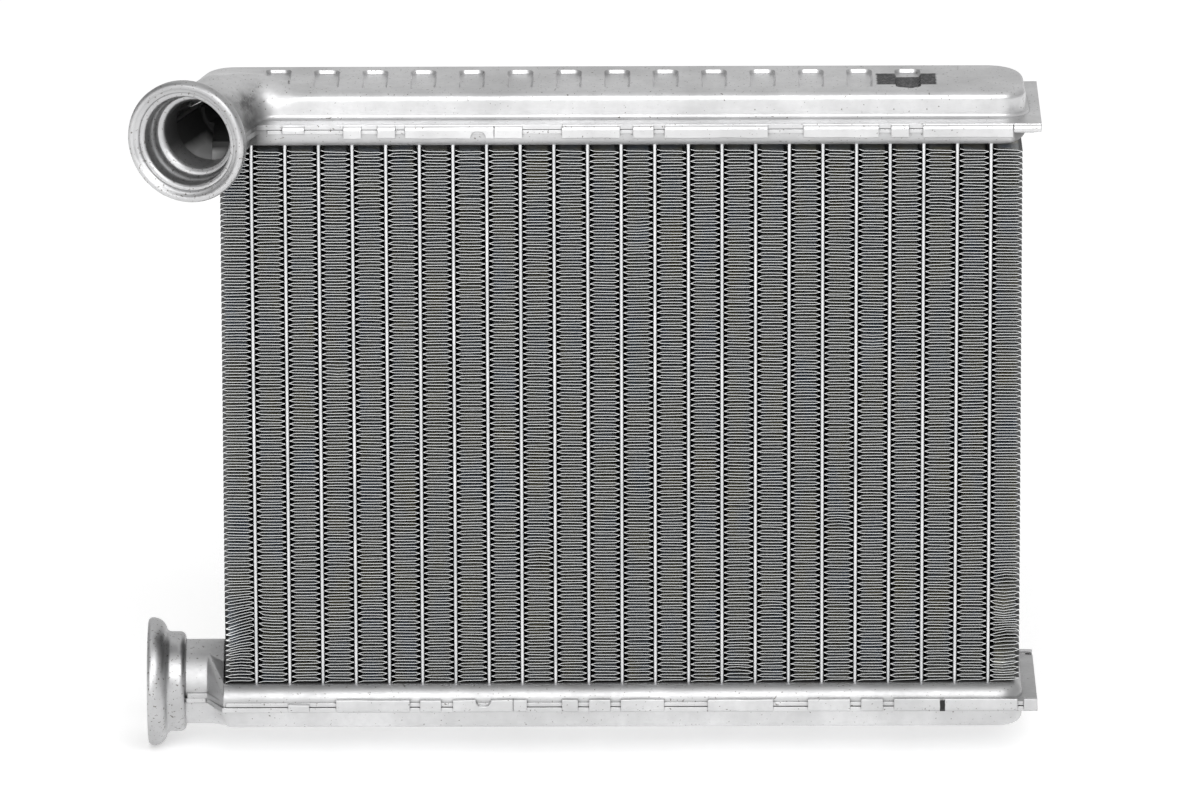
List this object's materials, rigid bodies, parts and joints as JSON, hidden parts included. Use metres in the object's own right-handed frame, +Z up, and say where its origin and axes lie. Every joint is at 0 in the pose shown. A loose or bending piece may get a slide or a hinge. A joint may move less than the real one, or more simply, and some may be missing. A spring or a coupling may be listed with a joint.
{
  "type": "heater core",
  "caption": "Brazed aluminium heater core: folded fins between flat tubes, a pressed tank above and below, and a round pipe coupling on each tank.",
  "frame": {"origin": "middle of the base of the bounding box", "axes": "+X along the tanks, away from the necks; the face in the picture looks to -Y; +Z up"},
  "size_m": [0.2446, 0.064, 0.1972],
  "materials": {
    "tank": "satin mill-finish aluminium sheet, brazed",
    "header": "satin mill-finish aluminium sheet, brazed",
    "coupling": "smooth formed aluminium",
    "tube": "bright drawn aluminium",
    "fin": "thin rolled aluminium, slightly darkened by brazing"
  },
  "bodies": {
    "root": {"upper_tank_cover": "tank", "upper_header_plate": "header", "lower_header_plate": "header", "lower_tank_cover": "tank", "inlet_coupling": "coupling", "outlet_coupling": "coupling", "tube_01": "tube", "tube_02": "tube", "tube_03": "tube", "tube_04": "tube", "tube_05": "tube", "tube_06": "tube", "tube_07": "tube", "tube_08": "tube", "tube_09": "tube", "tube_10": "tube", "tube_11": "tube", "tube_12": "tube", "tube_13": "tube", "tube_14": "tube", "tube_15": "tube", "tube_16": "tube", "tube_17": "tube", "tube_18": "tube", "tube_19": "tube", "tube_20": "tube", "tube_21": "tube", "tube_22": "tube", "tube_23": "tube", "fin_01": "fin", "fin_02": "fin", "fin_03": "fin", "fin_04": "fin", "fin_05": "fin", "fin_06": "fin", "fin_07": "fin", "fin_08": "fin", "fin_09": "fin", "fin_10": "fin", "fin_11": "fin", "fin_12": "fin", "fin_13": "fin", "fin_14": "fin", "fin_15": "fin", "fin_16": "fin", "fin_17": "fin", "fin_18": "fin", "fin_19": "fin", "fin_20": "fin", "fin_21": "fin", "fin_22": "fin", "fin_23": "fin", "fin_24": "fin"}
  },
  "joints": []
}
